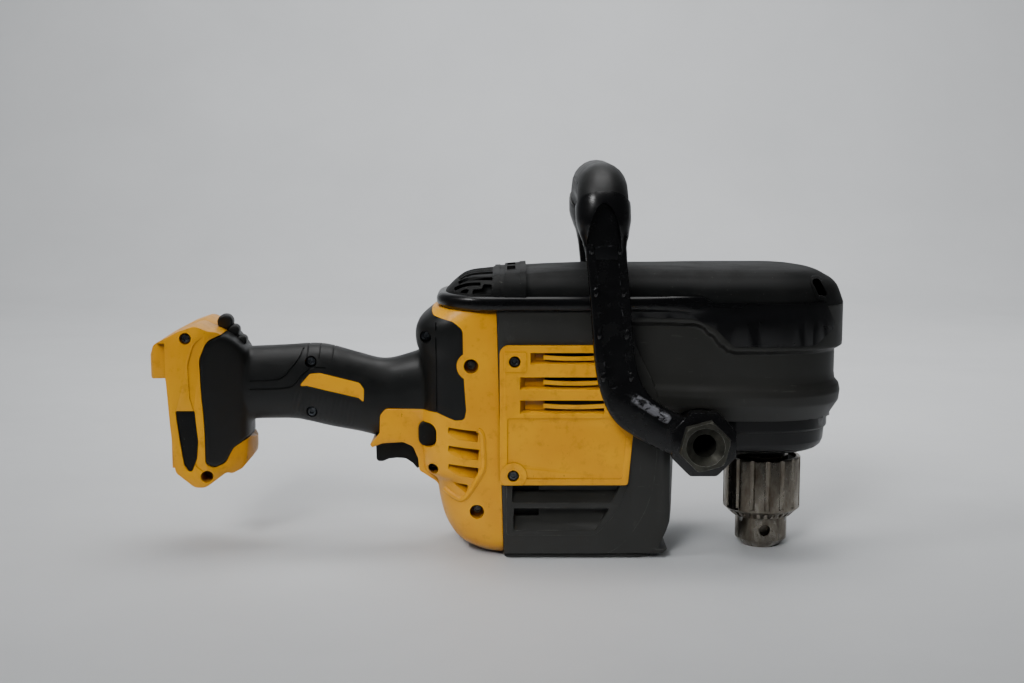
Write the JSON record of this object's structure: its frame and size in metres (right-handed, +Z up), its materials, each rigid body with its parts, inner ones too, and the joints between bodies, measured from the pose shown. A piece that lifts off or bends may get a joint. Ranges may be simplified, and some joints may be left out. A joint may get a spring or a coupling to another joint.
{
  "type": "stud and joist drill",
  "caption": "Cordless right-angle stud and joist drill with an in-line rear handle, an upright motor, a vertical keyed chuck under the nose and a swinging bail handle over the top.",
  "frame": {"origin": "on the bench, under the middle of the flat base that the drill stands on", "axes": "+X forward from the battery foot to the chuck, +Y to the tool's left as the user holds it by the rear handle, +Z up"},
  "size_m": [0.5196, 0.1712, 0.2935],
  "materials": {
    "yellow_nylon": "glass-filled yellow nylon, lightly soiled",
    "overmold_rubber": "satin black thermoplastic rubber",
    "charcoal_plastic": "textured dark grey nylon with scuffs",
    "black_plastic": "matt black moulded plastic",
    "gloss_black_plastic": "glossy black moulded plastic",
    "gear_case_metal": "die cast, black coated",
    "bail_metal": "black paint worn bright at the edges",
    "bolt_steel": "oxidised steel",
    "chuck_steel": "turned steel with a brownish bloom",
    "gear_steel": "machined steel, oiled",
    "screw_steel": "black oxide",
    "motor_core": "laminated steel with copper windings",
    "copper": "tinned copper"
  },
  "bodies": {
    "root": {"motor_housing": "charcoal_plastic", "base_cap": "charcoal_plastic", "gear_case": "gear_case_metal", "gear_case_lid": "gear_case_metal", "nose_cover": "charcoal_plastic", "top_cover": "black_plastic", "trim_band": "gloss_black_plastic", "vent_panel_left": "yellow_nylon", "vent_panel_right": "yellow_nylon", "rotor_bearing_lower": "gear_steel", "rotor_bearing_upper": "gear_steel", "spindle_bearing_lower": "gear_steel", "spindle_bearing_upper": "gear_steel", "motor_stator": "motor_core", "control_module": "black_plastic", "pivot_bolt_right": "bolt_steel", "pivot_bolt_left": "bolt_steel", "rear_shell_right": "yellow_nylon", "rear_shell_left": "yellow_nylon", "grip_overmold_right": "overmold_rubber", "grip_overmold_left": "overmold_rubber", "heel_bumper": "overmold_rubber", "foot_badge_right": "black_plastic", "foot_badge_left": "black_plastic", "terminal_block": "black_plastic", "terminal_blade_1": "copper", "terminal_blade_2": "copper", "terminal_blade_3": "copper", "switch_module": "black_plastic", "shell_upper_screw": "screw_steel", "shell_lower_screw": "screw_steel", "shoulder_screw": "screw_steel", "guard_screw": "screw_steel", "grip_upper_screw": "screw_steel", "grip_lower_screw": "screw_steel", "foot_screw": "screw_steel", "panel_upper_screw_right": "screw_steel", "panel_upper_screw_left": "screw_steel", "panel_lower_screw_right": "screw_steel", "panel_lower_screw_left": "screw_steel"},
    "rotor": {"motor_shaft": "gear_steel", "rotor_core": "motor_core", "cooling_fan": "black_plastic"},
    "countershaft_1": {"countershaft_1": "gear_steel"},
    "countershaft_2": {"countershaft_2": "gear_steel"},
    "spindle": {"spindle_shaft": "gear_steel", "spindle_gear": "gear_steel", "chuck_body": "chuck_steel"},
    "chuck_sleeve": {"chuck_sleeve": "chuck_steel"},
    "chuck_jaw_1": {"chuck_jaw_1": "gear_steel"},
    "chuck_jaw_2": {"chuck_jaw_2": "gear_steel"},
    "chuck_jaw_3": {"chuck_jaw_3": "gear_steel"},
    "trigger": {"trigger": "black_plastic"},
    "direction_button": {"direction_button": "black_plastic"},
    "bail": {"bail_frame": "bail_metal", "bail_grip": "overmold_rubber"}
  },
  "joints": [
    {"name": "spindle_spin", "type": "hinge", "parent": "root", "child": "spindle", "pos_m": [0.135, 0, 0.1], "axis": [0, 0, 1], "continuous": true},
    {"name": "countershaft_2_spin", "type": "hinge", "parent": "root", "child": "countershaft_2", "pos_m": [0.075, 0, 0.1], "axis": [0, 0, 1], "continuous": true},
    {"name": "countershaft_1_spin", "type": "hinge", "parent": "root", "child": "countershaft_1", "pos_m": [0.033, 0, 0.13], "axis": [0, 0, 1], "continuous": true},
    {"name": "rotor_spin", "type": "hinge", "parent": "root", "child": "rotor", "pos_m": [0, 0, 0.1], "axis": [0, 0, 1], "continuous": true},
    {"name": "sleeve_turn", "type": "hinge", "parent": "spindle", "child": "chuck_sleeve", "pos_m": [0.135, 0, 0.05], "axis": [0, 0, 1], "range_deg": [0, 2880]},
    {"name": "jaw_1_slide", "type": "slide", "parent": "spindle", "child": "chuck_jaw_1", "axis": [0, 0.2756, 0.9613], "range_m": [-0.0221, 0]},
    {"name": "jaw_2_slide", "type": "slide", "parent": "spindle", "child": "chuck_jaw_2", "axis": [-0.2387, -0.1378, 0.9613], "range_m": [-0.0221, 0]},
    {"name": "jaw_3_slide", "type": "slide", "parent": "spindle", "child": "chuck_jaw_3", "axis": [0.2387, -0.1378, 0.9613], "range_m": [-0.0221, 0]},
    {"name": "trigger_pull", "type": "slide", "parent": "root", "child": "trigger", "axis": [0, 0, 1], "range_m": [0, 0.0065], "stiffness_N_per_m": 600, "springref_m": -0.004},
    {"name": "direction_shift", "type": "slide", "parent": "root", "child": "direction_button", "axis": [0, 1, 0], "range_m": [-0.004, 0.004]},
    {"name": "bail_swing", "type": "hinge", "parent": "root", "child": "bail", "pos_m": [0.0815, 0, 0.092], "axis": [0, 1, 0], "range_deg": [0, 120]}
  ],
  "couplings": [
    {"joint": "countershaft_2_spin", "follows": "spindle_spin", "ratio": -1.8571},
    {"joint": "countershaft_1_spin", "follows": "spindle_spin", "ratio": 4.6429},
    {"joint": "rotor_spin", "follows": "spindle_spin", "ratio": -15.786},
    {"joint": "jaw_1_slide", "follows": "sleeve_turn", "m_per_rad": -0.00043768},
    {"joint": "jaw_2_slide", "follows": "sleeve_turn", "m_per_rad": -0.00043768},
    {"joint": "jaw_3_slide", "follows": "sleeve_turn", "m_per_rad": -0.00043768}
  ]
}
